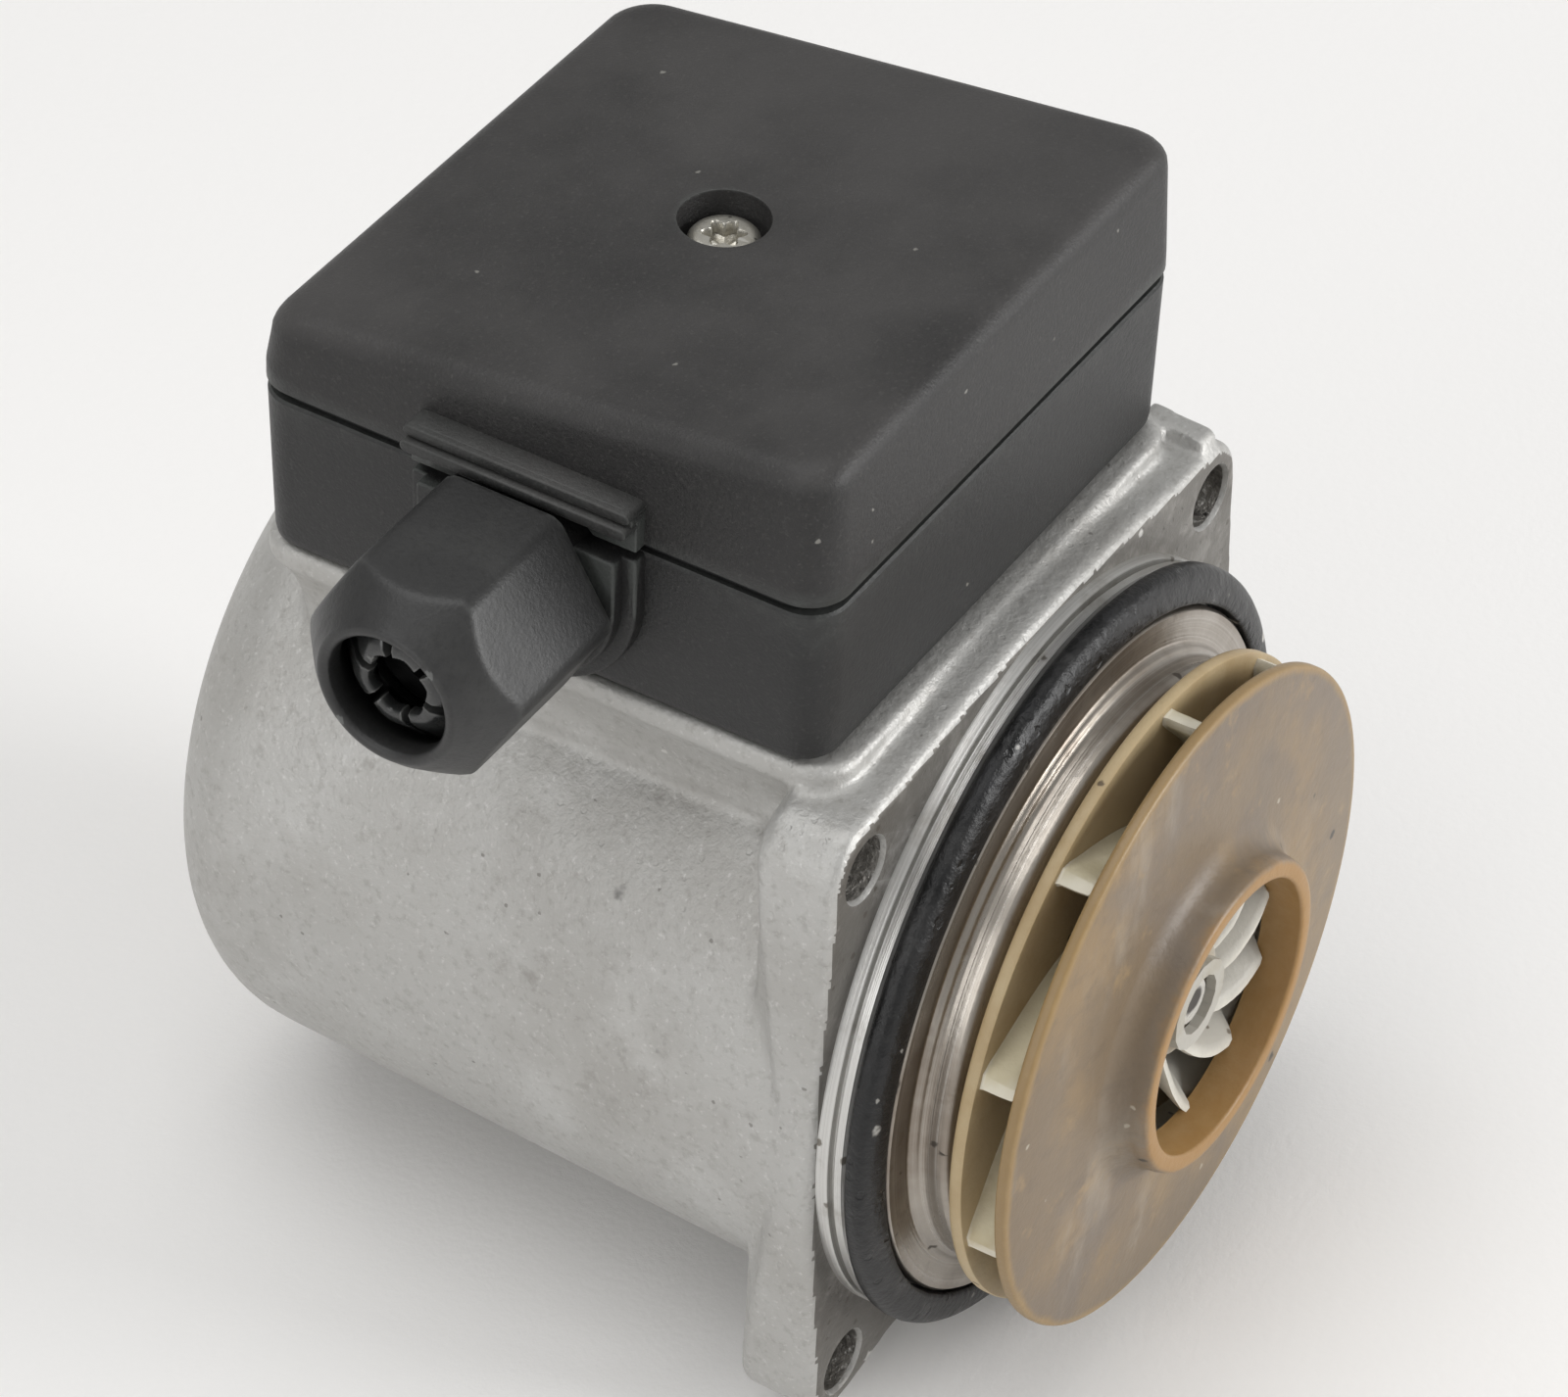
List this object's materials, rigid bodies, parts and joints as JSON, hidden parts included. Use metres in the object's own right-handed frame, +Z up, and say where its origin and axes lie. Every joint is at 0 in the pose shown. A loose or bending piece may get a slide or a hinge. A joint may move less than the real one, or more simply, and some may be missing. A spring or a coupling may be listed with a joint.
{
  "type": "circulator pump head",
  "caption": "Wet-rotor circulator pump head: die-cast motor housing with square flange, terminal box with cable gland, bearing plate and closed impeller.",
  "frame": {"origin": "centre of the bounding box's underside, where the lower ears and the can rest", "axes": "+Z up through the terminal box, -Y along the shaft towards the impeller, -X towards the cable gland"},
  "size_m": [0.0994, 0.11, 0.1177],
  "materials": {
    "stator_housing": "die-cast, bead-blasted, light grey with darker patches",
    "terminal_box_base": "fine-grained black moulding",
    "terminal_box_lid": "fine-grained black moulding",
    "lid_screw": "zinc plated",
    "lid_gasket": "soft black rubber",
    "gland_nut": "smooth black moulding",
    "gland_clamp_cage": "smooth black moulding",
    "gland_seal": "soft black rubber",
    "housing_seal_ring": "worn black rubber with pale specks",
    "bearing_plate": "drawn stainless steel, streaked and slightly brown",
    "front_bearing": "ground dark ceramic",
    "rear_bearing": "ground dark ceramic",
    "rotor_can": "thin drawn stainless steel",
    "shaft": "ground pale ceramic",
    "rotor_core": "stainless sleeve over laminations",
    "thrust_washer": "lapped carbon",
    "thrust_cushion": "black rubber",
    "impeller_body": "glass-filled composite, cream to tan",
    "impeller_front_shroud": "glass-filled composite, tan with a grey haze",
    "impeller_lock_ring": "stainless steel",
    "stator_core": "varnished laminations",
    "front_coil_head": "varnished copper winding",
    "rear_coil_head": "varnished copper winding",
    "vent_plug": "plain brass",
    "vent_plug_seal": "black rubber",
    "terminal_block": "off-white moulding",
    "terminal_screw_1": "brass",
    "terminal_screw_2": "brass",
    "terminal_screw_3": "brass",
    "run_capacitor": "white moulded case",
    "lead_live": "brown insulation",
    "lead_neutral": "blue insulation",
    "lead_start": "black insulation",
    "earth_screw": "brass",
    "box_fixing_screw_left": "zinc plated",
    "box_fixing_screw_right": "zinc plated"
  },
  "bodies": {
    "motor": {"stator_housing": "stator_housing", "terminal_box_base": "terminal_box_base", "gland_seal": "gland_seal", "housing_seal_ring": "housing_seal_ring", "bearing_plate": "bearing_plate", "front_bearing": "front_bearing", "rear_bearing": "rear_bearing", "rotor_can": "rotor_can", "thrust_cushion": "thrust_cushion", "stator_core": "stator_core", "front_coil_head": "front_coil_head", "rear_coil_head": "rear_coil_head", "terminal_block": "terminal_block", "terminal_screw_1": "terminal_screw_1", "terminal_screw_2": "terminal_screw_2", "terminal_screw_3": "terminal_screw_3", "run_capacitor": "run_capacitor", "lead_live": "lead_live", "lead_neutral": "lead_neutral", "lead_start": "lead_start", "earth_screw": "earth_screw", "box_fixing_screw_left": "box_fixing_screw_left", "box_fixing_screw_right": "box_fixing_screw_right"},
    "rotor": {"shaft": "shaft", "rotor_core": "rotor_core", "impeller_body": "impeller_body", "impeller_front_shroud": "impeller_front_shroud", "impeller_lock_ring": "impeller_lock_ring", "thrust_washer": "thrust_washer"},
    "lid": {"terminal_box_lid": "terminal_box_lid", "lid_gasket": "lid_gasket"},
    "screw": {"lid_screw": "lid_screw"},
    "clamp": {"gland_clamp_cage": "gland_clamp_cage"},
    "nut": {"gland_nut": "gland_nut"},
    "vent_seal": {"vent_plug_seal": "vent_plug_seal"},
    "vent": {"vent_plug": "vent_plug"}
  },
  "joints": [
    {"name": "rotor_spin", "type": "hinge", "parent": "motor", "child": "rotor", "pos_m": [0.00815, -0.0315, 0.0416], "axis": [0, 1, 0], "continuous": true},
    {"name": "lid_lift", "type": "slide", "parent": "motor", "child": "lid", "axis": [0, 0, 1], "range_m": [0, 0.06]},
    {"name": "lid_screw_turn", "type": "hinge", "parent": "lid", "child": "screw", "pos_m": [0.00815, 0.0063, 0.1016], "axis": [0, 0, 1], "range_deg": [0, 4320]},
    {"name": "gland_travel", "type": "slide", "parent": "motor", "child": "clamp", "axis": [-1, 0, 0], "range_m": [0, 0.009]},
    {"name": "gland_turn", "type": "hinge", "parent": "clamp", "child": "nut", "pos_m": [-0.03685, 0.0063, 0.0959], "axis": [-1, 0, 0], "range_deg": [0, 2160]},
    {"name": "vent_travel", "type": "slide", "parent": "motor", "child": "vent_seal", "axis": [0, 1, 0], "range_m": [0, 0.005]},
    {"name": "vent_turn", "type": "hinge", "parent": "vent_seal", "child": "vent", "pos_m": [0.00815, 0.0525, 0.0416], "axis": [0, 1, 0], "range_deg": [0, 1440]}
  ],
  "couplings": [
    {"joint": "gland_travel", "follows": "gland_turn", "m_per_rad": 0.00023873},
    {"joint": "vent_travel", "follows": "vent_turn", "m_per_rad": 0.00019894}
  ]
}
